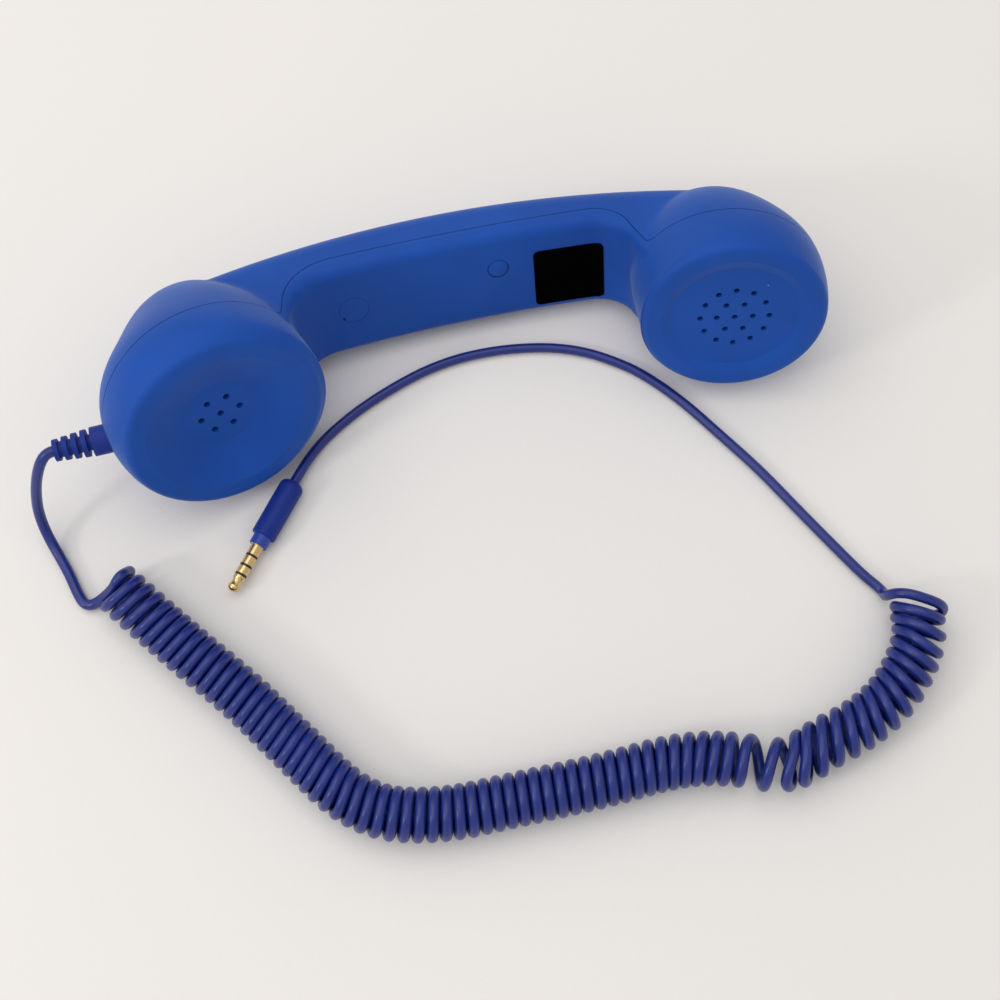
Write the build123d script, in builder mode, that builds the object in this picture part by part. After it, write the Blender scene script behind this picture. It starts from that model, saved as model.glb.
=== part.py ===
from build123d import *
from math import cos, pi, radians, sin, sqrt, tan
import os

os.makedirs("parts", exist_ok=True)

# Driving dimensions, in millimetres and degrees. The handset is drawn in a
# frame of its own: X along the grip, the cups facing -Y and the moulded halves
# symmetric about the XY plane. At the end it is laid down as it rests.
cup_spacing = 141.0
wall = 2.0
fit_gap = 0.1

# Mouth cup: rim, widest circle (belly), depth to the top of the dome.
mouth_rim_radius = 26.8
mouth_belly_radius = 30.0
mouth_belly_depth = 9.0
mouth_depth = 56.5
mouth_fullness = 1.5
mouth_face_turn = 15.5
mouth_dome_turn = 5.5
mouth_rim_y = -28.2

# Ear cup
ear_rim_radius = 24.9
ear_belly_radius = 26.6
ear_belly_depth = 8.5
ear_depth = 48.6
ear_fullness = 1.9
ear_face_turn = 13.3
ear_dome_turn = -2.0
ear_rim_y = -29.5
rim_round = 2.2

# Grip between the cups
grip_half_height = 15.8
grip_front_y = 7.75
grip_back_y = 27.2
grip_end_x = 72.0
grip_end_mouth_y = 18.0
grip_end_ear_y = 15.0
shoulder_x = 46.9
shoulder_y = 5.0
mouth_shoulder_round = 13.0
ear_shoulder_round = 11.0
mouth_foot_x = 50.2
ear_foot_x = 52.5
foot_y = -20.0
foot_depth = 12.0
front_round = 3.6
back_round = 8.5
blend_round = 4.0

# Parting line of the two shells, drawn in side view
cusp_mouth = (-50.3, -6.3)
cusp_ear = (51.6, -7.6)
seam_mouth_slope = 0.34
seam_ear_slope = 0.30
seam_below_face = 4.65
seam_corner_x = 47.0
seam_mouth_corner_y = 11.0
seam_ear_corner_y = 10.0
seam_mouth_round = 16.0
seam_ear_round = 11.0
seam_gap = 0.25
lip_height = 1.4

# Sound openings
mouth_dish_radius = 22.2
mouth_dish_floor = 10.4
mouth_dish_depth = 5.1
mouth_hole = 1.9
mouth_ring = 5.5
ear_dish_radius = 20.5
ear_dish_floor = 17.6
ear_dish_depth = 1.3
ear_hole = 1.7
ear_ring = 4.95
ear_outer_ring = 9.5

# Case screws under their covers, symmetric about the middle of the grip
screw_x = 30.5
cover_diameter = 8.6
cover_thickness = 1.8
cover_sink = 0.03
notch_angle = 215
notch_radius = 0.6
notch_depth = 1.0
screw_drop = 2.6
screw_head = 5.4
screw_head_height = 2.0
screw_thread = 2.9
screw_length = 9.0
front_boss_depth = 9.0
front_boss = 11.4
back_boss = 7.6

# Call button, its switch and board, in the grip's inner face
button_x = 12.2
button_rise = 3.45
button_diameter = 5.8
button_stand = 0.5
button_edge = -0.2
button_travel = 0.5
button_gap = 0.25
flange_clearance = 0.3
flange_diameter = 8.0
flange_thickness = 0.8
plunger_diameter = 2.6
plunger_length = 1.8
plunger_gap = 0.05
switch_well = 1.9
switch_size = 6.0
switch_height = 3.5
board_length = 18.0
board_width = 11.0
board_thickness = 1.2
post_diameter = 2.2

# Black label on the grip's inner face
label_x = 32.6
label_rise = -2.65
label_length = 20.2
label_height = 19.8
label_thickness = 0.25
label_corner = 1.6

# Receiver (ear) and microphone (mouth)
receiver_diameter = 36.0
receiver_height = 4.6
receiver_flange = 1.6
gasket_thickness = 1.2
gasket_bore = 27.0
magnet_diameter = 17.0
magnet_height = 4.2
cloth_thickness = 0.4
microphone_diameter = 9.7
microphone_height = 5.0
microphone_boot_diameter = 13.6
rib_wall = 1.3

# Strain relief and cord
relief_y = -23.6
relief_x = -97.0
relief_diameter = 8.0
relief_tip_diameter = 6.0
relief_core = 4.4
relief_rings = 4
relief_flange = 9.2
relief_flange_thickness = 1.8
relief_block_end = 9.2
relief_end = 19.4
relief_ring_width = 1.3
cord_diameter = 3.15
plug_cord_diameter = 2.85
coil_diameter = 14.5

cord_tail_length = 6.0
wire_diameter = 1.4
wire_z = -9.2

# Plug, measured from its tip, and where it lies
plug_diameter = 3.5
plug_metal_length = 14.6
plug_bore = 2.3
plug_pin = 1.1
plug_fit = 0.03
plug_cuts = (4.8, 7.7, 10.9)
plug_cut_width = 0.7
plug_collar_diameter = 5.2
plug_collar_length = 3.2
plug_core_diameter = 4.2
plug_core_length = 6.0
plug_boot_diameter = 7.0
plug_boot_length = 18.0
plug_boot_round = 2.0
plug_tip_place = (-79.2, -57.2)
plug_heading = 50.1

# How the handset lies: rolled back onto the grip's lower back edge
rest_roll = -20.43
rest_tilt = 0.957


def cup_plane(x, y, turn):
    """Plane of a cup's face, its Z pointing out of the face."""
    return Plane(
        origin=(x, y, 0),
        x_dir=(cos(radians(turn)), sin(radians(turn)), 0),
        z_dir=(sin(radians(turn)), -cos(radians(turn)), 0),
    )


mouth_face = cup_plane(-cup_spacing / 2, mouth_rim_y, mouth_face_turn)
ear_face = cup_plane(cup_spacing / 2, ear_rim_y, -ear_face_turn)


def cup_sections(face, face_turn, dome_turn, rim, belly, belly_depth, depth, fullness, inset):
    """Round sections of a cup, as planes and radii, from its rim to the top of its dome."""
    mid = face.offset(-0.4 * belly_depth).origin
    mid_plane = cup_plane(mid.X, mid.Y, (2 * face_turn + dome_turn) / 3)
    sections = [(face.offset(-inset), rim - inset), (mid_plane, rim + 0.72 * (belly - rim) - inset)]
    centre = face.offset(-belly_depth).origin
    dome = cup_plane(centre.X, centre.Y, dome_turn)
    reach = depth - belly_depth - inset
    for angle in (0, 22, 40, 55, 68, 80):
        rise = reach * sin(radians(angle)) ** (2 / fullness)
        radius = (belly - inset) * cos(radians(angle)) ** (2 / fullness)
        sections.append((dome.offset(-rise), radius))
    return sections


def cup_form(sections, edge_round):
    """A cup as one smooth body of revolution whose axis leans as it goes back."""
    with BuildPart() as cup:
        for plane, radius in sections:
            with BuildSketch(plane):
                Circle(radius)
        loft()
        if edge_round:
            rim_edges = cup.faces().sort_by(SortBy.AREA).filter_by(GeomType.PLANE)[-1].edges()
            fillet(rim_edges, edge_round)
    return cup.part


def grip_outline(inset):
    """Side view of the bowed grip; a negative inset grows it."""
    with BuildSketch(Plane.XY) as outline:
        with BuildLine():
            Polyline(
                (-mouth_foot_x - foot_depth, foot_y),
                (-mouth_foot_x, foot_y),
                (-shoulder_x, shoulder_y),
            )
            ThreePointArc((-shoulder_x, shoulder_y), (0, grip_front_y), (shoulder_x, shoulder_y))
            Polyline(
                (shoulder_x, shoulder_y),
                (ear_foot_x, foot_y),
                (ear_foot_x + foot_depth, foot_y),
                (grip_end_x, grip_end_ear_y),
            )
            ThreePointArc(
                (grip_end_x, grip_end_ear_y), (0, grip_back_y), (-grip_end_x, grip_end_mouth_y)
            )
            Line((-grip_end_x, grip_end_mouth_y), (-mouth_foot_x - foot_depth, foot_y))
        make_face()
        for side, shoulder_round in ((-1, mouth_shoulder_round), (1, ear_shoulder_round)):
            corner = outline.vertices().sort_by_distance((side * shoulder_x, shoulder_y, 0))[0]
            fillet(corner, shoulder_round)
        if inset:
            offset(amount=-inset)
    return outline.sketch


def grip_form(inset):
    """The grip: its side view extruded across, with its long edges rounded."""
    half_height = grip_half_height - inset
    with BuildPart() as grip:
        with BuildSketch(Plane.XY):
            add(grip_outline(inset))
        extrude(amount=half_height, both=True)
        long_edges = [e for e in grip.edges() if abs(abs(e.center().Z) - half_height) < 0.01]
        fillet([e for e in long_edges if e.center().Y > grip_back_y - 5], back_round - inset)
        inner_edges = [
            e
            for e in grip.edges()
            if abs(abs(e.center().Z) - half_height) < 0.01
            and foot_y + 3 < e.center().Y < grip_front_y + 2 * wall
            and -mouth_foot_x < e.center().X < ear_foot_x
        ]
        fillet(inner_edges, front_round - inset)
    return grip.part


def handset_form(inset):
    """Outer form of the handset at inset 0; its hollow at the wall thickness."""
    mouth = cup_sections(
        mouth_face, mouth_face_turn, mouth_dome_turn, mouth_rim_radius, mouth_belly_radius,
        mouth_belly_depth, mouth_depth, mouth_fullness, inset,
    )
    ear = cup_sections(
        ear_face, -ear_face_turn, -ear_dome_turn, ear_rim_radius, ear_belly_radius,
        ear_belly_depth, ear_depth, ear_fullness, inset,
    )
    edge_round = 0 if inset else rim_round
    with BuildPart() as form:
        add(cup_form(mouth, edge_round))
        add(cup_form(ear, edge_round))
        add(grip_form(inset))
        if not inset:
            fillet(form.edges(Select.NEW), blend_round)
    return form.part


def dish(face, radius, floor_radius, depth, lead_in):
    """The hollow of a cup's face, as a turned body that opens out of the face."""
    half = Plane(origin=face.origin, x_dir=face.x_dir, z_dir=(0, 0, -1))
    with BuildPart() as hollow:
        with BuildSketch(half):
            with BuildLine():
                Polyline(
                    (0, lead_in),
                    (radius, lead_in),
                    (radius, 0),
                    (floor_radius, -depth),
                    (0, -depth),
                    (0, lead_in),
                )
            make_face()
        revolve(axis=Axis(face.origin, face.z_dir))
    return hollow.part


def seam_region(grow):
    """Everything on the face side of the parting line, grown by a gap or a lip."""
    far = 125.0
    mouth_far_y = cusp_mouth[1] - (far + cusp_mouth[0]) * seam_mouth_slope
    ear_far_y = cusp_ear[1] - (far - cusp_ear[0]) * seam_ear_slope
    corners = (
        (-seam_corner_x, seam_mouth_corner_y, seam_mouth_round),
        (seam_corner_x, seam_ear_corner_y, seam_ear_round),
    )
    with BuildPart() as region:
        with BuildSketch(Plane.XY) as side:
            with BuildLine():
                Polyline((-far, mouth_far_y), cusp_mouth, (-seam_corner_x, seam_mouth_corner_y))
                ThreePointArc(
                    (-seam_corner_x, seam_mouth_corner_y),
                    (0, grip_front_y + seam_below_face),
                    (seam_corner_x, seam_ear_corner_y),
                )
                Polyline(
                    (seam_corner_x, seam_ear_corner_y),
                    cusp_ear,
                    (far, ear_far_y),
                    (far, -60),
                    (-far, -60),
                    (-far, mouth_far_y),
                )
            make_face()
            for corner_x, corner_y, corner_round in corners:
                corner = side.vertices().sort_by_distance((corner_x, corner_y, 0))[0]
                fillet(corner, corner_round)
            if grow:
                offset(amount=grow, kind=Kind.INTERSECTION)
        extrude(amount=40, both=True)
    return region.part


face_rise = grip_front_y - shoulder_y
face_radius = (shoulder_x**2 + face_rise**2) / (2 * face_rise)


def face_plane(x, rise=0.0):
    """Plane touching the grip's inner face at x, its Z pointing out of the face."""
    slope = x / face_radius
    return Plane(
        origin=(x, grip_front_y - face_radius + sqrt(face_radius**2 - x**2), rise),
        x_dir=(cos(slope), -sin(slope), 0),
        z_dir=(-sin(slope), -cos(slope), 0),
    )


# Outer form, hollow, and the half-wall form that the shells' lip follows.
outer_form = handset_form(0)
lip_form = handset_form(wall / 2 + fit_gap / 2)
hollow_form = handset_form(wall)

mouth_dish = dish(mouth_face, mouth_dish_radius, mouth_dish_floor, mouth_dish_depth, 5)
mouth_back = dish(mouth_face, mouth_dish_radius + 1.0, mouth_dish_floor + 1.0, mouth_dish_depth + wall, 5)
ear_dish = dish(ear_face, ear_dish_radius, ear_dish_floor, ear_dish_depth, 5)
ear_back = dish(ear_face, ear_dish_radius + 1.0, ear_dish_floor + 1.4, ear_dish_depth + wall, 5)

front_region = seam_region(0)
lip_region = seam_region(lip_height)
gap_region = seam_region(seam_gap)
lip_room_region = seam_region(lip_height + seam_gap)

# Seats inside, each on the plane of what it holds.
cover_planes = [face_plane(-screw_x), face_plane(screw_x)]
button_plane = face_plane(button_x, button_rise)
flange_depth = wall + flange_clearance
switch_top_depth = flange_depth + flange_thickness + button_travel + 0.2
board_depth = switch_top_depth + switch_height
screw_seat_depth = cover_sink + cover_thickness + screw_drop + screw_head_height
receiver_seat = ear_face.offset(-(ear_dish_depth + wall))
microphone_seat = mouth_face.offset(-(mouth_dish_depth + wall))
post_locations = GridLocations(board_length - 3.6, board_width - 3.2, 2, 2)
relief_axis = Plane(origin=(relief_x, relief_y, 0), x_dir=(0, 0, 1), z_dir=(-1, -0.03, 0))

# Front shell: cup faces with their dishes and sound holes, inner face of the
# grip, screw bosses, button hole, board posts and the rings that hold the
# receiver and the microphone. Its lip stands inside the back shell's edge.
with BuildPart() as front_shell:
    add(lip_form)
    add(lip_region, mode=Mode.INTERSECT)
    add(outer_form.intersect(front_region))
    add(hollow_form, mode=Mode.SUBTRACT)
    add(mouth_back.intersect(hollow_form))
    add(ear_back.intersect(hollow_form))
    with BuildSketch(receiver_seat.offset(0.5)):
        Circle(receiver_diameter / 2 + fit_gap + rib_wall)
        Circle(receiver_diameter / 2 + fit_gap, mode=Mode.SUBTRACT)
    extrude(amount=-(gasket_thickness + receiver_flange + 1.5))
    with BuildSketch(microphone_seat.offset(0.5)):
        Circle(microphone_boot_diameter / 2 + fit_gap + rib_wall)
        Circle(microphone_boot_diameter / 2 + fit_gap, mode=Mode.SUBTRACT)
    extrude(amount=-(microphone_height + 0.5))
    for plane in cover_planes:
        with BuildSketch(plane.offset(-wall / 2)):
            Circle(front_boss / 2)
        extrude(amount=-(front_boss_depth - wall / 2))
    with BuildSketch(button_plane.offset(-wall / 2)):
        with post_locations:
            Circle(post_diameter / 2)
    extrude(amount=-(board_depth - wall / 2))
    add(mouth_dish, mode=Mode.SUBTRACT)
    add(ear_dish, mode=Mode.SUBTRACT)
    with BuildSketch(mouth_face):
        Circle(mouth_hole / 2)
        with PolarLocations(mouth_ring, 6):
            Circle(mouth_hole / 2)
    extrude(amount=-(mouth_dish_depth + wall + 1), mode=Mode.SUBTRACT)
    with BuildSketch(ear_face):
        Circle(ear_hole / 2)
        with PolarLocations(ear_ring, 6):
            Circle(ear_hole / 2)
        with PolarLocations(ear_outer_ring, 12):
            Circle(ear_hole / 2)
    extrude(amount=-(ear_dish_depth + wall + 1), mode=Mode.SUBTRACT)
    for plane in cover_planes:
        with BuildSketch(plane.offset(1)):
            Circle(cover_diameter / 2 + fit_gap)
        extrude(amount=-(1 + cover_sink + cover_thickness), mode=Mode.SUBTRACT)
        with BuildSketch(plane):
            Circle(screw_head / 2 + 3 * fit_gap)
        extrude(amount=-screw_seat_depth, mode=Mode.SUBTRACT)
        with BuildSketch(plane):
            Circle(screw_thread / 2 + 2 * fit_gap)
        extrude(amount=-(front_boss_depth + 1), mode=Mode.SUBTRACT)
    with BuildSketch(button_plane.offset(1)):
        Circle(button_diameter / 2 + button_gap)
    extrude(amount=-(wall + 2), mode=Mode.SUBTRACT)
    with BuildSketch(relief_axis):
        Circle(relief_diameter / 2 + fit_gap)
    extrude(amount=20, mode=Mode.SUBTRACT)
front_shell.part.label = "front_shell"

# Back shell: the domes and the bowed back of the grip, rebated for the front
# shell's lip, with a boss for each case screw.
with BuildPart() as back_shell:
    add(outer_form)
    add(hollow_form, mode=Mode.SUBTRACT)
    add(gap_region, mode=Mode.SUBTRACT)
    add(lip_form.intersect(lip_room_region), mode=Mode.SUBTRACT)
    for plane in cover_planes:
        with BuildSketch(plane.offset(-(front_boss_depth + fit_gap))):
            Circle(back_boss / 2)
        extrude(amount=-(grip_back_y - grip_front_y + 5))
    add(outer_form, mode=Mode.INTERSECT)
    for plane in cover_planes:
        with BuildSketch(plane):
            Circle(screw_thread / 2 + fit_gap / 2)
        extrude(amount=-(screw_seat_depth + screw_length + 1), mode=Mode.SUBTRACT)
    with BuildSketch(relief_axis):
        Circle(relief_diameter / 2 + fit_gap)
    extrude(amount=20, mode=Mode.SUBTRACT)
back_shell.part.label = "back_shell"

# Case screws, threads left plain, heads at the bottom of their wells
with BuildPart() as case_screws:
    for plane in cover_planes:
        with BuildSketch(plane.offset(-screw_seat_depth)):
            Circle(screw_head / 2)
        extrude(amount=screw_head_height)
        with BuildSketch(plane.offset(-screw_seat_depth)):
            Circle(screw_thread / 2)
        extrude(amount=-screw_length)
    for plane in cover_planes:
        with BuildSketch(plane.offset(-(screw_seat_depth - screw_head_height))):
            Rectangle(screw_head * 0.62, 0.8)
            Rectangle(0.8, screw_head * 0.62)
        extrude(amount=-1.1, mode=Mode.SUBTRACT)
case_screws.part.label = "case_screws"

# Screw covers: flush round plugs with a pry notch at one edge
screw_covers = []
for plane, label in zip(cover_planes, ("screw_cover_mouth", "screw_cover_ear")):
    with BuildPart() as screw_cover:
        with BuildSketch(plane.offset(-cover_sink)):
            Circle(cover_diameter / 2)
        extrude(amount=-cover_thickness)
        with BuildSketch(plane.offset(-cover_sink)):
            with PolarLocations(cover_diameter / 2, 1, start_angle=notch_angle):
                Circle(notch_radius)
        extrude(amount=-notch_depth, mode=Mode.SUBTRACT)
    screw_cover.part.label = label
    screw_covers.append(screw_cover)

# Label: a bare black sticker that follows the grip's face into its shoulder
with BuildPart() as label_film:
    with BuildSketch(Plane.XY):
        add(grip_outline(-label_thickness))
        add(grip_outline(0), mode=Mode.SUBTRACT)
    extrude(amount=label_height, both=True)
    with BuildSketch(face_plane(label_x, label_rise)):
        RectangleRounded(label_length, label_height, label_corner)
    extrude(amount=4, both=True, mode=Mode.INTERSECT)
label_film.part.label = "label"

# Call button: low dome, shank in the hole, flange behind the wall
button_section = Plane(origin=button_plane.origin, x_dir=button_plane.x_dir, z_dir=(0, 0, -1))
with BuildPart() as call_button:
    with BuildSketch(button_section):
        with BuildLine():
            Polyline(
                (0, button_stand),
                (0, -flange_depth - flange_thickness),
                (flange_diameter / 2, -flange_depth - flange_thickness),
                (flange_diameter / 2, -flange_depth),
                (button_diameter / 2, -flange_depth),
                (button_diameter / 2, button_edge),
            )
            TangentArc((0, button_stand), (button_diameter / 2, button_edge), tangent=(1, 0))
        make_face()
    revolve(axis=Axis(button_plane.origin, button_plane.z_dir))
call_button.part.label = "call_button"

# Switch under the button: its plunger moves with the button
with BuildPart() as switch_plunger:
    with BuildSketch(button_plane.offset(-flange_depth - flange_thickness)):
        Circle(plunger_diameter / 2)
    extrude(amount=-plunger_length)
switch_plunger.part.label = "switch_plunger"

with BuildPart() as switch_body:
    with BuildSketch(button_plane.offset(-switch_top_depth)):
        Rectangle(switch_size, switch_size)
        Circle(plunger_diameter / 2 + plunger_gap, mode=Mode.SUBTRACT)
    extrude(amount=-switch_well)
    with BuildSketch(button_plane.offset(-switch_top_depth - switch_well)):
        Rectangle(switch_size, switch_size)
    extrude(amount=-(switch_height - switch_well))
switch_body.part.label = "switch_body"

with BuildPart() as switch_board:
    with BuildSketch(button_plane.offset(-board_depth)):
        RectangleRounded(board_length, board_width, 0.8)
    extrude(amount=-board_thickness)
switch_board.part.label = "switch_board"

# Receiver in the ear cup: felt, foam ring, cone, frame and magnet
with BuildPart() as receiver_felt:
    with BuildSketch(receiver_seat):
        Circle(gasket_bore / 2 - 2 * fit_gap)
    extrude(amount=-cloth_thickness)
receiver_felt.part.label = "receiver_felt"

with BuildPart() as receiver_gasket:
    with BuildSketch(receiver_seat):
        Circle(receiver_diameter / 2)
        Circle(gasket_bore / 2, mode=Mode.SUBTRACT)
    extrude(amount=-gasket_thickness)
receiver_gasket.part.label = "receiver_gasket"

receiver_section = Plane(origin=receiver_seat.origin, x_dir=receiver_seat.x_dir, z_dir=(0, 0, -1))
cone_top = -gasket_thickness
cone_rim = receiver_diameter / 2
cone_neck = magnet_diameter / 4
with BuildPart() as receiver_cone:
    with BuildSketch(receiver_section):
        with BuildLine():
            Polyline(
                (cone_rim, cone_top),
                (cone_rim - 3.6, cone_top),
                (cone_rim - 4.4, cone_top - 0.5),
                (cone_neck, cone_top - 2.6),
            )
            TangentArc((0, cone_top - 1.6), (cone_neck, cone_top - 2.6), tangent=(1, 0))
            Line((0, cone_top - 1.6), (0, cone_top - 1.9))
            TangentArc((0, cone_top - 1.9), (cone_neck, cone_top - 2.9), tangent=(1, 0))
            Polyline(
                (cone_neck, cone_top - 2.9),
                (cone_rim - 4.4, cone_top - 0.8),
                (cone_rim - 3.6, cone_top - 0.3),
                (cone_rim, cone_top - 0.3),
                (cone_rim, cone_top),
            )
        make_face()
    revolve(axis=Axis(receiver_seat.origin, receiver_seat.z_dir))
receiver_cone.part.label = "receiver_cone"

frame_top = cone_top - 0.3
frame_foot = frame_top - receiver_height
with BuildPart() as receiver_frame:
    with BuildSketch(receiver_section):
        with BuildLine():
            Polyline(
                (cone_rim, frame_top),
                (cone_rim - 3.4, frame_top),
                (cone_rim - 3.4, frame_top - 0.9),
                (magnet_diameter / 2 - 0.6, frame_foot + 1),
                (cone_neck + 1, frame_foot + 1),
                (cone_neck + 1, frame_foot),
                (magnet_diameter / 2, frame_foot),
                (cone_rim - 2.4, frame_top - receiver_flange),
                (cone_rim, frame_top - receiver_flange),
                (cone_rim, frame_top),
            )
        make_face()
    revolve(axis=Axis(receiver_seat.origin, receiver_seat.z_dir))
    with BuildSketch(receiver_seat.offset(frame_foot - 1)):
        with PolarLocations(11.6, 6):
            SlotOverall(5.4, 2.4, rotation=90)
    extrude(amount=4.6, mode=Mode.SUBTRACT)
receiver_frame.part.label = "receiver_frame"

with BuildPart() as receiver_magnet:
    with BuildSketch(receiver_seat.offset(frame_foot)):
        Circle(magnet_diameter / 2)
    extrude(amount=-magnet_height)
    chamfer(receiver_magnet.faces().sort_by(Axis(receiver_seat.origin, receiver_seat.z_dir))[0].edges(), 0.5)
receiver_magnet.part.label = "receiver_magnet"

# Microphone in the mouth cup: felt, rubber boot and capsule
with BuildPart() as microphone_felt:
    with BuildSketch(microphone_seat):
        Circle(microphone_boot_diameter / 2 - fit_gap)
    extrude(amount=-cloth_thickness)
microphone_felt.part.label = "microphone_felt"

boot_lip = 0.8
with BuildPart() as microphone_boot:
    with BuildSketch(microphone_seat.offset(-cloth_thickness)):
        Circle(microphone_boot_diameter / 2)
        Circle(microphone_diameter / 2 - 1, mode=Mode.SUBTRACT)
    extrude(amount=-boot_lip)
    with BuildSketch(microphone_seat.offset(-cloth_thickness - boot_lip)):
        Circle(microphone_boot_diameter / 2)
        Circle(microphone_diameter / 2 + fit_gap / 2, mode=Mode.SUBTRACT)
    extrude(amount=-(microphone_height + 0.6))
microphone_boot.part.label = "microphone_boot"

with BuildPart() as microphone_capsule:
    with BuildSketch(microphone_seat.offset(-cloth_thickness - boot_lip)):
        Circle(microphone_diameter / 2)
    extrude(amount=-microphone_height)
    with BuildSketch(microphone_seat.offset(-cloth_thickness - boot_lip)):
        Circle(1.0)
    extrude(amount=-0.6, mode=Mode.SUBTRACT)
microphone_capsule.part.label = "microphone_capsule"

# Strain relief: collar inside the wall, block outside it, then rings on a core
with BuildPart() as strain_relief:
    with BuildSketch(relief_axis):
        Circle(relief_flange / 2)
    extrude(amount=relief_flange_thickness)
    with BuildSketch(relief_axis):
        Circle(relief_diameter / 2)
    extrude(amount=relief_block_end)
    with BuildSketch(relief_axis):
        Circle(relief_core / 2)
    extrude(amount=relief_end)
    for ring in range(relief_rings):
        share = (ring + 1) / relief_rings
        ring_radius = (relief_diameter + (relief_tip_diameter - relief_diameter) * share) / 2
        ring_end = relief_block_end + (relief_end - relief_block_end) * share
        with BuildSketch(relief_axis.offset(ring_end)):
            Circle(ring_radius)
        extrude(amount=-relief_ring_width)
strain_relief.part.label = "strain_relief"


def arc_radii(points):
    """The largest arcs that the runs beside each corner of a cord's route allow."""
    corners = [Vector(*point) for point in points]
    runs = [after - before for before, after in zip(corners, corners[1:])]
    radii = []
    for before, after in zip(runs, runs[1:]):
        half_turn = radians(before.get_angle(after)) / 2
        radii.append(0.45 * min(before.length, after.length) / tan(half_turn))
    return radii


def cord_line(route):
    """A cord's centre line: straight runs joined by the largest arcs."""
    with BuildLine() as line:
        FilletPolyline(*route, radius=arc_radii(route))
    return line.wire()


def cord_body(line, diameter, label):
    """A round cord swept along its centre line."""
    with BuildPart() as cord:
        with BuildSketch(Plane(origin=line @ 0, z_dir=line % 0)):
            Circle(diameter / 2)
        sweep(path=line)
    cord.part.label = label
    return cord


# Inside wiring: the cord's tail with a pair to the microphone and a pair that
# runs along the grip to the receiver, clear of the bosses and the board
with BuildPart() as cord_tail:
    with BuildSketch(relief_axis):
        Circle(relief_core / 2)
    extrude(amount=-cord_tail_length)
cord_tail.part.label = "cord_tail"

tail_end = relief_axis.offset(-cord_tail_length)
microphone_back = microphone_seat.offset(-cloth_thickness - boot_lip - microphone_height)
magnet_back = receiver_seat.offset(frame_foot - magnet_height)
microphone_route = [
    tail_end.from_local_coords((1.2, 0, 0)),
    tail_end.from_local_coords((1.2, 0, -4)),
    (-83, -15, 2),
    (-78, -9.5, 1.5),
    microphone_back.from_local_coords((0, 0, -5)),
    microphone_back.origin,
]
microphone_wires = cord_body(cord_line(microphone_route), wire_diameter, "microphone_wires")

receiver_route = [
    tail_end.from_local_coords((-1.2, 0, 0)),
    tail_end.from_local_coords((-1.2, 0, -4)),
    (-81, -10, -5),
    (-66, 6, wire_z + 1),
    (-48, 14.5, wire_z),
    (-26, 18.5, wire_z),
    (0, 20.0, wire_z + 0.4),
    (26, 18.5, wire_z),
    (47, 12.5, wire_z + 0.5),
    (61, 3, -7),
    (69.5, -6, -4),
    magnet_back.from_local_coords((0, 0, -5)),
    magnet_back.origin,
]
receiver_wires = cord_body(cord_line(receiver_route), wire_diameter, "receiver_wires")

# The handset lies on its two cups and the lower back edge of its grip, with
# the origin under the middle of the shells. The cord and plug lie on the table
# and are drawn where they lie.
lying = Location((0, 0, 0), (rest_roll, rest_tilt, 0))
box = outer_form.moved(lying).bounding_box()
place = Location((-box.center().X, -box.center().Y, -box.min.Z)) * lying

# Plug: contacts insulated from each other by one moulding, collar and boot
plug_axis = Plane(
    origin=(*plug_tip_place, plug_boot_diameter / 2),
    x_dir=(0, 0, 1),
    z_dir=(cos(radians(plug_heading)), sin(radians(plug_heading)), 0),
)
plug_half = Plane(
    origin=plug_axis.origin,
    x_dir=plug_axis.x_dir,
    z_dir=plug_axis.x_dir.cross(plug_axis.z_dir),
)
collar_start = plug_metal_length
boot_start = collar_start + plug_collar_length
boot_end = boot_start + plug_boot_length
core_end = boot_start + plug_core_length
with BuildPart() as plug_tip:
    with BuildSketch(plug_half):
        with BuildLine():
            tip_radius = plug_diameter / 2
            Polyline((0, core_end), (0, 0), (0.35 * tip_radius, 0))
            TangentArc((tip_radius, 1.6), (0.35 * tip_radius, 0), tangent=(0, -1))
            ThreePointArc((tip_radius, 1.6), (0.78 * tip_radius, 2.9), (tip_radius, 4.1))
            Polyline(
                (tip_radius, 4.1),
                (tip_radius, plug_cuts[0]),
                (plug_pin / 2, plug_cuts[0]),
                (plug_pin / 2, core_end),
                (0, core_end),
            )
        make_face()
    revolve(axis=Axis(plug_axis.origin, plug_axis.z_dir))
plug_tip.part.label = "plug_tip"

with BuildPart() as plug_insulator:
    with BuildSketch(plug_axis.offset(plug_cuts[0])):
        Circle(plug_bore / 2)
    extrude(amount=core_end - plug_cuts[0])
    for cut in plug_cuts:
        with BuildSketch(plug_axis.offset(cut)):
            Circle(plug_diameter / 2)
        extrude(amount=plug_cut_width)
    with BuildSketch(plug_axis):
        Circle(plug_pin / 2 + plug_fit)
    extrude(amount=core_end, mode=Mode.SUBTRACT)
plug_insulator.part.label = "plug_insulator"

with BuildPart() as plug_ring_front:
    with BuildSketch(plug_axis.offset(plug_cuts[0] + plug_cut_width)):
        Circle(plug_diameter / 2)
        Circle(plug_bore / 2 + plug_fit, mode=Mode.SUBTRACT)
    extrude(amount=plug_cuts[1] - plug_cuts[0] - plug_cut_width)
plug_ring_front.part.label = "plug_ring_front"

with BuildPart() as plug_ring_rear:
    with BuildSketch(plug_axis.offset(plug_cuts[1] + plug_cut_width)):
        Circle(plug_diameter / 2)
        Circle(plug_bore / 2 + plug_fit, mode=Mode.SUBTRACT)
    extrude(amount=plug_cuts[2] - plug_cuts[1] - plug_cut_width)
plug_ring_rear.part.label = "plug_ring_rear"

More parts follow.
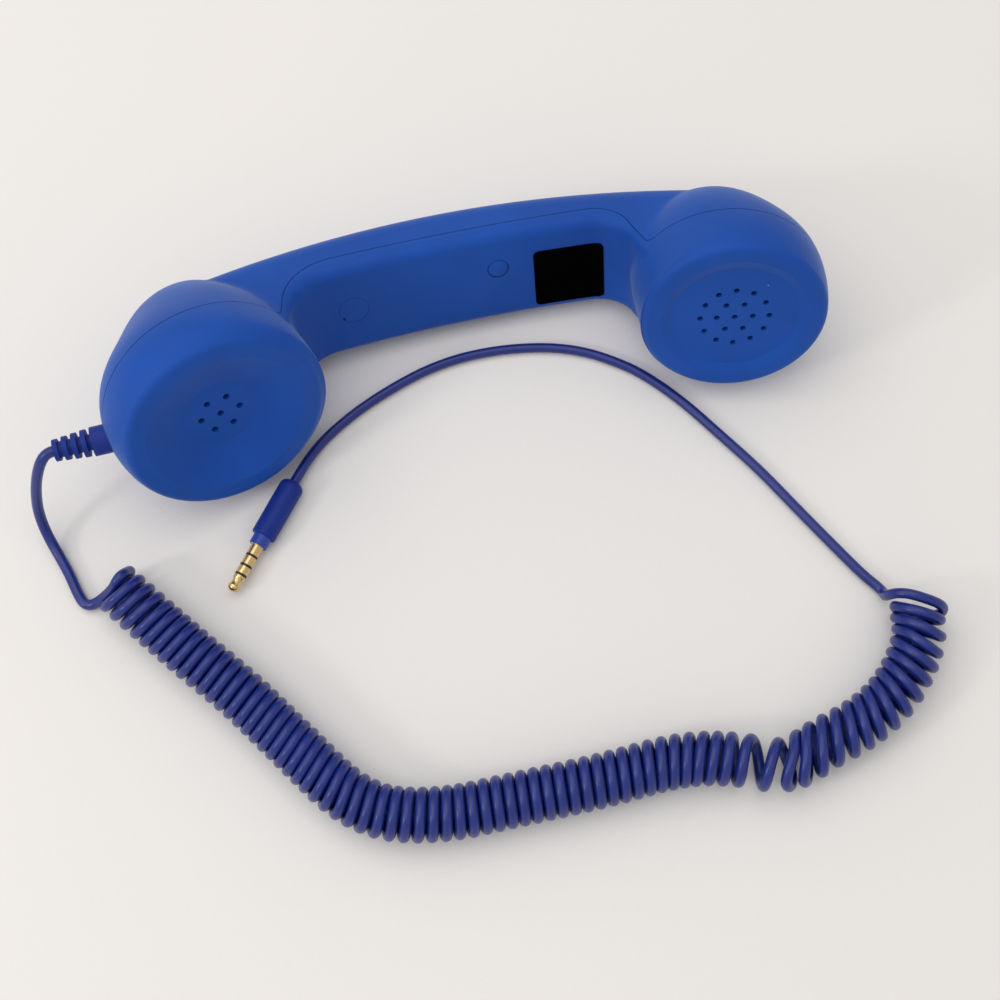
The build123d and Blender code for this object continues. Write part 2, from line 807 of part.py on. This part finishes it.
with BuildPart() as plug_sleeve:
    with BuildSketch(plug_axis.offset(plug_cuts[2] + plug_cut_width)):
        Circle(plug_diameter / 2)
    extrude(amount=collar_start - plug_cuts[2] - plug_cut_width)
    with BuildSketch(plug_axis.offset(collar_start)):
        Circle(plug_core_diameter / 2)
    extrude(amount=core_end - collar_start)
    with BuildSketch(plug_axis):
        Circle(plug_bore / 2 + plug_fit)
    extrude(amount=core_end, mode=Mode.SUBTRACT)
plug_sleeve.part.label = "plug_sleeve"

with BuildPart() as plug_collar:
    with BuildSketch(plug_axis.offset(collar_start)):
        Circle(plug_collar_diameter / 2)
    extrude(amount=plug_collar_length)
    chamfer(plug_collar.faces().sort_by(Axis(plug_axis.origin, plug_axis.z_dir))[0].edges(), 0.2)
    with BuildSketch(plug_axis.offset(collar_start)):
        Circle(plug_core_diameter / 2 + plug_fit)
    extrude(amount=plug_collar_length, mode=Mode.SUBTRACT)
plug_collar.part.label = "plug_collar"

with BuildPart() as plug_boot:
    with BuildSketch(plug_axis.offset(boot_start)):
        Circle(plug_boot_diameter / 2)
    extrude(amount=plug_boot_length)
    boot_faces = plug_boot.faces().sort_by(Axis(plug_axis.origin, plug_axis.z_dir))
    fillet(boot_faces[0].edges(), 0.35)
    fillet(boot_faces[-1].edges(), plug_boot_round)
    with BuildSketch(plug_axis.offset(boot_start)):
        Circle(plug_core_diameter / 2 + plug_fit)
    extrude(amount=plug_core_length + plug_fit, mode=Mode.SUBTRACT)
plug_boot.part.label = "plug_boot"

# Curly cord: one fat tube of the coil's outer diameter, lying on the table
coil_z = coil_diameter / 2 + 0.05
coil_route = [
    (-109.0, -50.8, coil_z),
    (-94.3, -71.5, coil_z),
    (-82.2, -86.7, coil_z),
    (-70.8, -104.3, coil_z),
    (-57.3, -125.2, coil_z),
    (-39.0, -131.7, coil_z),
    (-15.5, -132.3, coil_z),
    (5.7, -133.1, coil_z),
    (27.3, -132.4, coil_z),
    (41.8, -135.9, coil_z),
    (53.9, -141.8, coil_z),
    (65.6, -137.6, coil_z),
    (76.6, -135.4, coil_z),
    (87.7, -130.1, coil_z),
    (96.3, -121.9, coil_z),
    (101.4, -113.8, coil_z),
    (102.0, -105.0, coil_z),
]
coil_line = cord_line(coil_route)
coiled_cord = cord_body(coil_line, coil_diameter, "coiled_cord")
coil_start = Plane(origin=coil_line @ 0, x_dir=(0, 0, 1), z_dir=coil_line % 0)
coil_end = Plane(origin=coil_line @ 1, x_dir=(0, 0, 1), z_dir=coil_line % 1)

# Lead from the strain relief down to the table and into the coil
lead_start = Plane(place * relief_axis.offset(relief_end).location)
lead_z = cord_diameter / 2 + 0.02
handset_route = [
    lead_start.origin,
    lead_start.from_local_coords((0, 0, 6.0)),
    (-123.8, -22.9, 24.0),
    (-126.3, -26.5, 10.0),
    (-124.6, -33.6, lead_z),
    (-122.2, -40.2, lead_z),
    (-119.6, -46.2, 2.6),
    coil_start.from_local_coords((-3.0, 4.7, -5.4)),
    coil_start.from_local_coords((-3.0, 4.7, 0)),
]
handset_lead_line = cord_line(handset_route)
handset_lead = cord_body(handset_lead_line, cord_diameter, "handset_lead")

# Lead from the plug's boot, along the grip and back to the coil's other end
plug_lead_start = plug_axis.offset(boot_end)
plug_lead_z = plug_cord_diameter / 2 + 0.02
plug_route = [
    plug_lead_start.origin,
    plug_lead_start.from_local_coords((0, 0, 10.0)),
    (-32.6, -11.1, plug_lead_z),
    (-12.6, -3.6, plug_lead_z),
    (7.6, -2.2, plug_lead_z),
    (29.6, -6.3, plug_lead_z),
    (46.3, -16.8, plug_lead_z),
    (58.5, -31.2, plug_lead_z),
    (71.0, -52.0, plug_lead_z),
    (80.7, -71.3, plug_lead_z),
    (89.2, -88.0, plug_lead_z),
    (94.2, -96.6, 2.3),
    coil_end.from_local_coords((-3.3, -4.4, 4.6)),
    coil_end.from_local_coords((-3.3, -4.4, 0)),
]
plug_lead_line = cord_line(plug_route)
plug_lead = cord_body(plug_lead_line, plug_cord_diameter, "plug_lead")

# The arcs of each stretch of cord, and its volume against section times length
for piece, route, path, diameter in (
    (coiled_cord, coil_route, coil_line, coil_diameter),
    (handset_lead, handset_route, handset_lead_line, cord_diameter),
    (plug_lead, plug_route, plug_lead_line, plug_cord_diameter),
):
    volume_ratio = piece.part.volume / (pi * diameter**2 / 4 * path.length)
    print(piece.part.label, "radii", [round(radius, 1) for radius in arc_radii(route)])
    print(piece.part.label, "length", round(path.length, 1), "volume ratio", round(volume_ratio, 4))

for piece in (
    front_shell,
    back_shell,
    case_screws,
    *screw_covers,
    label_film,
    call_button,
    switch_plunger,
    switch_body,
    switch_board,
    receiver_felt,
    receiver_gasket,
    receiver_cone,
    receiver_frame,
    receiver_magnet,
    microphone_felt,
    microphone_boot,
    microphone_capsule,
    strain_relief,
    cord_tail,
    microphone_wires,
    receiver_wires,
):
    piece.part.move(place)
    export_step(piece.part, f"parts/{piece.part.label}.step")

for piece in (
    handset_lead,
    coiled_cord,
    plug_lead,
    plug_tip,
    plug_insulator,
    plug_ring_front,
    plug_ring_rear,
    plug_sleeve,
    plug_collar,
    plug_boot,
):
    export_step(piece.part, f"parts/{piece.part.label}.step")
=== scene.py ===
import math

import bpy
from mathutils import Matrix, Vector


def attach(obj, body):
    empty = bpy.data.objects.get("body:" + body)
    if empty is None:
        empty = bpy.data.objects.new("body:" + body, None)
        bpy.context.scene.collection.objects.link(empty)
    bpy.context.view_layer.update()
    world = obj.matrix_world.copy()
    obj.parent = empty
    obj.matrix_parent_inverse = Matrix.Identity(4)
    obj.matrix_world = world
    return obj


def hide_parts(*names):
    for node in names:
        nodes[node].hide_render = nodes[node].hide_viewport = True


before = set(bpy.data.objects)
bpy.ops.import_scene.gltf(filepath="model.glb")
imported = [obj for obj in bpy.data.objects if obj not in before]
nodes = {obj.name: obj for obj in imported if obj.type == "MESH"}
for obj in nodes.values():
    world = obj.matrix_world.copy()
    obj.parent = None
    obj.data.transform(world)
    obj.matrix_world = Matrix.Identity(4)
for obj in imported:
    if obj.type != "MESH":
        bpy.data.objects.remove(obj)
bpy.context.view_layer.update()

# Camera: held about 0.4 m above the table, in front of the grip and looking down
# at it, as the photograph was taken.
camera_data = bpy.data.cameras.new("camera")
camera_data.sensor_width = 36.0
camera_data.lens = 50.42
camera_data.clip_start = 0.01
camera = bpy.data.objects.new("camera", camera_data)
camera.matrix_world = (
    Matrix.Translation((-0.03345, -0.18355, 0.37524))
    @ Matrix.Rotation(math.radians(-13.703), 4, "Z")
    @ Matrix.Rotation(math.radians(20.429), 4, "X")
    @ Matrix.Rotation(math.radians(-0.263), 4, "Z")
)
bpy.context.scene.collection.objects.link(camera)
bpy.context.scene.camera = camera
bpy.context.scene.view_settings.view_transform = "Standard"


class Wire:
    """A value that runs through a material; arithmetic on it adds Math nodes."""

    def __init__(self, finish, socket):
        self.finish = finish
        self.socket = socket

    def _math(self, operation, first, second):
        return self.finish.node("ShaderNodeMath", {"operation": operation}, {0: first, 1: second})

    def __add__(self, other):
        return self._math("ADD", self, other)

    __radd__ = __add__

    def __mul__(self, other):
        return self._math("MULTIPLY", self, other)

    __rmul__ = __mul__

    def __lt__(self, other):
        return self._math("LESS_THAN", self, other)

    def __gt__(self, other):
        return self._math("GREATER_THAN", self, other)


class Finish:
    """A material: constants go on its own shader, and what varies is wired to it."""

    def __init__(self, name, constants):
        self.material = bpy.data.materials.new(name)
        self.material.use_nodes = True
        self.tree = self.material.node_tree
        self.shader = self.tree.nodes["Principled BSDF"]
        self.wire(self.shader, constants)

    def wire(self, node, inputs):
        for key, value in inputs.items():
            if isinstance(value, Wire):
                self.tree.links.new(value.socket, node.inputs[key])
            else:
                node.inputs[key].default_value = value

    def node(self, kind, settings, inputs, output=0):
        made = self.tree.nodes.new(kind)
        for key, value in settings.items():
            setattr(made, key, value)
        self.wire(made, inputs)
        return Wire(self, made.outputs[output])

    def place(self, scale=(1, 1, 1)):
        point = self.node("ShaderNodeTexCoord", {}, {}, "Object")
        return self.node("ShaderNodeMapping", {}, {"Vector": point, "Scale": scale})

    def noise(self, size, detail=2.0, stretch=(1, 1, 1)):
        """Cloudy grain from 0 to 1, its lumps of the given size in metres."""
        inputs = {"Vector": self.place(stretch), "Scale": 1 / size, "Detail": detail}
        return self.node("ShaderNodeTexNoise", {}, inputs)

    def fade(self, value, low, high):
        """0 below low, 1 above high, a smooth step between."""
        inputs = {"Value": value, "From Min": low, "From Max": high}
        return self.node("ShaderNodeMapRange", {"interpolation_type": "SMOOTHSTEP"}, inputs)

    def blend(self, mask, first, second):
        return self.node("ShaderNodeMix", {"data_type": "RGBA"}, {0: mask, 6: first, 7: second}, 2)

    def relief(self, height, depth):
        """Bumps of the given depth in metres where height goes from 0 to 1."""
        inputs = {"Height": height, "Distance": depth, "Strength": 1.0}
        self.wire(self.shader, {"Normal": self.node("ShaderNodeBump", {}, inputs)})


def paint(red, green, blue):
    """A colour read off a screen, as the shader wants it."""
    return (*[((c / 255 + 0.055) / 1.055) ** 2.4 for c in (red, green, blue)], 1.0)


# Table: a pale cloth with a faint weave, far wider than the picture. It is lit by
# a broad soft window behind the handset, a small one on the left, and the room's
# white walls.
thread_size = 0.0012
thread_height = 0.00006
shade_size = 0.25
table_half = 2.5
cloth = Finish("table_cloth", {"Roughness": 0.9, "Specular IOR Level": 0.1})
threads = cloth.noise(thread_size, 3.0, (1.0, 3.0, 1.0))
cloth_tone = cloth.blend(cloth.noise(shade_size), paint(241, 235, 228), paint(235, 231, 227))
cloth.wire(cloth.shader, {"Base Color": cloth_tone})
cloth.relief(threads, thread_height)
table_mesh = bpy.data.meshes.new("table")
table_mesh.from_pydata(
    [(x * table_half, y * table_half, 0) for x, y in ((-1, -1), (1, -1), (1, 1), (-1, 1))],
    [],
    [(0, 1, 2, 3)],
)
table_mesh.materials.append(cloth.material)
table = bpy.data.objects.new("table", table_mesh)
bpy.context.scene.collection.objects.link(table)

room = bpy.data.worlds.new("room")
room.use_nodes = True
walls = room.node_tree.nodes["Background"]
walls.inputs["Color"].default_value = (0.97, 0.98, 1.0, 1.0)
walls.inputs["Strength"].default_value = 0.64
bpy.context.scene.world = room

windows = [
    ("window", (-0.3, 0.16, 1.05), (0.0, -0.04, 0.0), 1.3, 5.6),
    ("side_window", (-0.95, -0.25, 0.6), (0.0, -0.05, 0.0), 0.2, 1.8),
]
for name, place, aim, size, power in windows:
    lamp_data = bpy.data.lights.new(name, "AREA")
    lamp_data.size = size
    lamp_data.energy = power
    lamp = bpy.data.objects.new(name, lamp_data)
    lamp.location = place
    lamp.rotation_mode = "QUATERNION"
    lamp.rotation_quaternion = (Vector(aim) - Vector(place)).to_track_quat("-Z", "Y")
    bpy.context.scene.collection.objects.link(lamp)

# Cord: round soft plastic, drawn as one length. It leaves the strain relief,
# drops to the table, winds left-handed into the curly part and runs straight
# again, a little thinner, to the plug.
millimetre = 0.001
cord_width = 3.0 * millimetre
plug_cord_width = 2.85 * millimetre
coil_width = 14.5 * millimetre
lead_route = [
    (-114.40, -17.36, 32.15),
    (-116.4, -17.4, 32.15),
    (-119.1, -18.6, 29.8),
    (-122.1, -20.2, 24.0),
    (-124.6, -21.8, 17.0),
    (-126.4, -24.2, 10.0),
    (-126.4, -28.6, 4.2),
    (-124.5, -34.7, 1.7),
    (-122.4, -41.0, 1.65),
    (-121.1, -46.6, 1.65),
    (-119.8, -50.3, 1.65),
    (-117.9, -51.3, 1.7),
    (-115.6, -51.1, 2.8),
    (-112.7, -50.9, 5.6),
    (-109.5, -50.7, 9.6),
    (-107.9, -49.9, 12.2),
    (-106.2, -48.6, 12.7),
    (-105.3, -47.0, 9.5),
]
coil_route = [
    (-108.98, -50.16, 7.3),
    (-94.13, -71.01, 7.3),
    (-81.94, -86.29, 7.3),
    (-70.46, -103.95, 7.3),
    (-56.89, -124.89, 7.3),
    (-38.59, -131.38, 7.3),
    (-15.14, -131.97, 7.3),
    (5.99, -132.75, 7.3),
    (27.49, -132.04, 7.3),
    (41.91, -135.52, 7.3),
    (53.93, -141.39, 7.3),
    (65.55, -137.2, 7.3),
    (76.47, -135.0, 7.3),
    (87.48, -129.71, 7.3),
    (96.03, -121.53, 7.3),
    (101.1, -113.45, 7.3),
    (101.71, -104.67, 7.3),
]
plug_route = [
    (98.0, -107.3, 3.6),
    (101.0, -108.6, 1.6),
    (104.8, -110.2, 1.8),
    (107.9, -111.0, 4.4),
    (108.5, -110.4, 8.2),
    (106.2, -109.4, 11.8),
    (102.4, -107.4, 13.3),
    (98.9, -105.2, 13.2),
    (96.2, -103.7, 11.2),
    (95.0, -103.1, 8.0),
    (95.4, -102.3, 4.2),
    (96.2, -100.6, 1.8),
    (95.0, -98.2, 1.5),
    (92.6, -94.6, 1.5),
    (89.6, -88.9, 1.5),
    (81.2, -72.2, 1.5),
    (74.1, -57.4, 1.5),
    (66.2, -44.0, 1.5),
    (58.3, -30.6, 1.5),
    (49.4, -19.4, 1.5),
    (42.9, -14.0, 1.5),
    (35.6, -9.0, 1.5),
    (26.0, -5.0, 1.5),
    (14.4, -2.6, 1.5),
    (4.0, -1.8, 1.5),
    (-5.0, -2.2, 1.5),
    (-15.5, -4.2, 1.5),
    (-31.1, -9.8, 1.5),
    (-42.5, -16.0, 1.6),
    (-48.5, -20.8, 2.3),
    (-53.03, -25.9, 3.4),
    (-56.24, -29.74, 3.5),
]


def smooth_curve(name, points, radii, steps=4):
    """An open smooth curve with the given control points, in millimetres."""
    curve = bpy.data.curves.new(name, "CURVE")
    curve.dimensions = "3D"
    curve.resolution_u = steps
    spline = curve.splines.new("NURBS")
    spline.points.add(len(points) - 1)
    for control, point, radius in zip(spline.points, points, radii):
        control.co = (*[length * millimetre for length in point], 1.0)
        control.radius = radius
    spline.order_u = 3
    spline.use_endpoint_u = True
    made = bpy.data.objects.new(name, curve)
    bpy.context.scene.collection.objects.link(made)
    return made


# The coil's own line, as points a short step apart.
coil_guide = smooth_curve("coil_guide", coil_route, [1.0] * len(coil_route), steps=24)
bpy.context.view_layer.update()
guide_mesh = bpy.data.meshes.new_from_object(
    coil_guide.evaluated_get(bpy.context.evaluated_depsgraph_get())
)
coil_line = [vertex.co / millimetre for vertex in guide_mesh.vertices]
bpy.data.objects.remove(coil_guide)
bpy.data.meshes.remove(guide_mesh)
run = [0.0]
for first, second in zip(coil_line, coil_line[1:]):
    run.append(run[-1] + (second - first).length)


def along_coil(distance):
    """Point and direction of the coil's line at a distance, going on straight past its ends."""
    step = next((i for i in range(len(run) - 2) if run[i + 1] > distance), len(run) - 2)
    direction = (coil_line[step + 1] - coil_line[step]).normalized()
    return coil_line[step] + direction * (distance - run[step]), direction


def between(table, at):
    """The row of a table at a value of its first column, straight between rows."""
    at = min(max(at, table[0][0]), table[-1][0])
    before, after = next(pair for pair in zip(table, table[1:]) if pair[1][0] >= at)
    share = (at - before[0]) / (after[0] - before[0])
    return [low + (high - low) * share for low, high in zip(before[1:], after[1:])]


# Where the turns lie, read off the photograph: the number of turns, the distance
# along the line, and how far a turn leans forward at its top and at its right
# side. They are looser at the ends and pulled open at one place.
turns_table = [
    (-0.7, 0.2, 2.2, 0.1),
    (0.34, 4.3, 2.2, 0.1),
    (3.34, 15.7, 2.0, 0.2),
    (7.34, 28.7, 1.8, 0.6),
    (14.34, 52.0, 1.5, 1.4),
    (22.34, 76.4, 1.2, 2.1),
    (25.34, 86.2, 1.2, 2.2),
    (27.34, 92.9, 0.9, 1.4),
    (29.34, 99.7, 0.4, 0.5),
    (33.34, 113.2, 0.1, 0.1),
    (42.34, 142.8, -0.4, 0.2),
    (53.34, 180.0, -0.6, -0.9),
    (55.34, 187.3, -0.7, -0.2),
    (56.34, 191.3, -0.8, 0.2),
    (57.34, 198.5, -1.6, 0.0),
    (58.34, 203.8, -2.7, -3.0),
    (59.34, 207.9, -2.1, -3.4),
    (60.34, 213.0, -1.3, -3.0),
    (61.34, 217.6, -1.5, -2.0),
    (62.34, 221.9, -2.1, -1.5),
    (64.34, 229.5, -2.1, -1.7),
    (68.34, 245.9, -2.1, -0.5),
    (69.34, 249.6, -2.1, -0.4),
    (70.34, 253.5, -2.6, -1.1),
    (71.34, 257.8, -2.2, -1.5),
    (72.34, 261.9, -1.8, -1.5),
    (73.34, 266.5, -1.8, -1.5),
]
points_per_turn = 14
first_turn = -0.41
last_turn = 72.59
start_angle = math.radians(122.5)
# The smooth curve passes inside its control points, at this share of their radius.
bulge = 0.75 + 0.25 * math.cos(2 * math.pi / points_per_turn)
helix_radius = (coil_width - cord_width) / 2 / millimetre / bulge
helix = []
for step in range(round((last_turn - first_turn) * points_per_turn) + 1):
    turns = first_turn + step / points_per_turn
    angle = start_angle - 2 * math.pi * turns
    distance, top_lean, side_lean = between(turns_table, turns)
    distance += top_lean * (math.cos(angle) - 1) + side_lean * math.sin(angle)
    centre, direction = along_coil(distance)
    side = direction.cross(Vector((0, 0, 1)))
    helix.append(
        centre + helix_radius * (math.cos(angle) * Vector((0, 0, 1)) + math.sin(angle) * side)
    )

cord_points = [*lead_route, *helix, *plug_route]
thick_points = len(lead_route) + len(helix)
thinner = plug_cord_width / cord_width
cord_radii = [1.0] * thick_points + [thinner] * len(plug_route)
cord = smooth_curve("cord", cord_points, cord_radii)
cord.data.bevel_depth = cord_width / 2
cord.data.bevel_resolution = 5

vinyl = Finish(
    "cord_vinyl",
    {"Specular IOR Level": 0.45, "Coat Weight": 0.12, "Coat Roughness": 0.2},
)
vinyl_tone = vinyl.blend(vinyl.noise(0.004, 3.0), paint(17, 33, 108), paint(23, 42, 128))
vinyl.wire(vinyl.shader, {"Base Color": vinyl_tone})
vinyl.wire(vinyl.shader, {"Roughness": 0.29 + 0.12 * vinyl.noise(0.0009, 2.0)})
vinyl.relief(vinyl.noise(0.0007, 2.0), 0.00002)
cord.data.materials.append(vinyl.material)
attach(cord, "handset")
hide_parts("handset_lead", "coiled_cord", "plug_lead")


def dress(finish, *names):
    """Give CAD nodes a finish."""
    for name in names:
        nodes[name].data.materials.clear()
        nodes[name].data.materials.append(finish.material)


# Shells, covers and button: moulded plastic with a rubbery soft-touch coat, a
# little greasy and dusty from use, and hazy where it is seen at a slant.
soft = Finish(
    "soft_touch_blue",
    {
        "Specular IOR Level": 0.2,
        "Sheen Weight": 0.24,
        "Sheen Roughness": 0.35,
        "Sheen Tint": (0.68, 0.84, 1.0, 1.0),
    },
)
handling = soft.fade(soft.noise(0.035, 3.0), 0.35, 0.7)
soft_tone = soft.blend(handling, paint(16, 72, 160), paint(22, 79, 170))
spots = {"Vector": soft.place(), "Scale": 160.0}
spot = soft.node("ShaderNodeTexVoronoi", {"feature": "F1"}, spots, "Distance")
spot_number = soft.node("ShaderNodeTexVoronoi", {"feature": "F1"}, spots, "Color")
spot_chance = soft.node("ShaderNodeSeparateColor", {}, {"Color": spot_number})
dust = 0.55 * ((spot < 0.035) * (spot_chance > 0.93))
soft.wire(soft.shader, {"Base Color": soft.blend(dust, soft_tone, paint(170, 184, 214))})
soft.wire(soft.shader, {"Roughness": 0.5 + 0.12 * handling + 0.06 * soft.noise(0.0015)})
soft.relief(soft.noise(0.0004, 2.0), 0.00002)
dress(soft, "front_shell", "back_shell", "screw_cover_mouth", "screw_cover_ear", "call_button")

# Label: a square of thin black film with rounded corners, stuck on the grip's
# face. It is dull, with the faintest texture.
film = Finish("label_film", {"Specular IOR Level": 0.0})
film_tone = film.blend(film.noise(0.006), paint(1, 1, 1), paint(3, 3, 4))
film.wire(film.shader, {"Base Color": film_tone})
film.wire(film.shader, {"Roughness": 0.42 + 0.12 * film.noise(0.002)})
film.relief(film.noise(0.001), 0.00001)
dress(film, "label")

# Strain relief and plug boot: flexible plastic moulded over the cord's ends, a
# little duller than the cord. The plain cord solids under it are never seen.
moulding = Finish("moulded_navy", {"Specular IOR Level": 0.22})
moulding_tone = moulding.blend(moulding.noise(0.003, 3.0), paint(18, 42, 122), paint(24, 50, 138))
moulding.wire(moulding.shader, {"Base Color": moulding_tone})
moulding.wire(moulding.shader, {"Roughness": 0.42 + 0.14 * moulding.noise(0.0012)})
moulding.relief(moulding.noise(0.0005), 0.00002)
dress(moulding, "strain_relief", "plug_boot", "cord_tail")
dress(moulding, "handset_lead", "coiled_cord", "plug_lead")

# Plug collar: the brighter plastic ring between the boot and the metal, part of
# the plug's inner moulding.
collar = Finish("collar_blue", {"Specular IOR Level": 0.5})
collar_tone = collar.blend(collar.noise(0.002), paint(28, 56, 150), paint(34, 66, 164))
collar.wire(collar.shader, {"Base Color": collar_tone})
collar.wire(collar.shader, {"Roughness": 0.34 + 0.1 * collar.noise(0.001)})
collar.relief(collar.noise(0.0005), 0.00001)
dress(collar, "plug_collar")

# Plug contacts: the tip, two rings and the sleeve, gold plate over turned brass,
# with the fine marks of the turning.
gold = Finish("gold_plate", {"Metallic": 1.0})
gold_tone = gold.blend(gold.noise(0.002), paint(214, 180, 118), paint(232, 204, 148))
gold.wire(gold.shader, {"Base Color": gold_tone})
gold.wire(gold.shader, {"Roughness": 0.2 + 0.14 * gold.noise(0.0008)})
gold.relief(gold.noise(0.0004), 0.000006)
dress(gold, "plug_tip", "plug_ring_front", "plug_ring_rear", "plug_sleeve")


def plain_finish(name, dark, light, rough, grain, depth, constants):
    """A finish of two close tones and a fine grain, for the pieces inside."""
    made = Finish(name, constants)
    tone = made.blend(made.noise(grain * 6), paint(*dark), paint(*light))
    made.wire(made.shader, {"Base Color": tone})
    made.wire(made.shader, {"Roughness": rough + 0.12 * made.noise(grain * 2)})
    made.relief(made.noise(grain), depth)
    return made


# Insulating rings of the plug, and the push switch under the call button: black
# moulded plastic.
black = plain_finish("black_plastic", (10, 10, 11), (17, 17, 19), 0.36, 0.0006, 0.00001, {})
dress(black, "plug_insulator", "switch_plunger", "switch_body")

# Pieces inside the cups and the grip, hidden but for the felt that shows black
# behind the sound holes: the receiver, the microphone, the board and the wires.
felt_fuzz = {"Sheen Weight": 0.2}
felt = plain_finish("black_felt", (10, 11, 15), (22, 23, 30), 0.85, 0.0004, 0.0001, felt_fuzz)
dress(felt, "receiver_felt", "microphone_felt")
foam = plain_finish("foam_rubber", (24, 24, 26), (36, 36, 38), 0.8, 0.0005, 0.0001, {})
dress(foam, "receiver_gasket", "microphone_boot")
metal = {"Metallic": 1.0}
steel = plain_finish("zinc_steel", (150, 152, 156), (188, 190, 194), 0.28, 0.0005, 0.00001, metal)
dress(steel, "case_screws", "receiver_frame", "receiver_magnet", "microphone_capsule")
cone = plain_finish("thin_film", (172, 162, 140), (190, 182, 160), 0.4, 0.001, 0.00001, {})
dress(cone, "receiver_cone")
board = plain_finish("board_green", (24, 92, 52), (34, 110, 62), 0.35, 0.0008, 0.00002, {})
dress(board, "switch_board")
wires = plain_finish("wire_red", (150, 36, 30), (172, 48, 40), 0.4, 0.0006, 0.00001, {})
dress(wires, "microphone_wires", "receiver_wires")
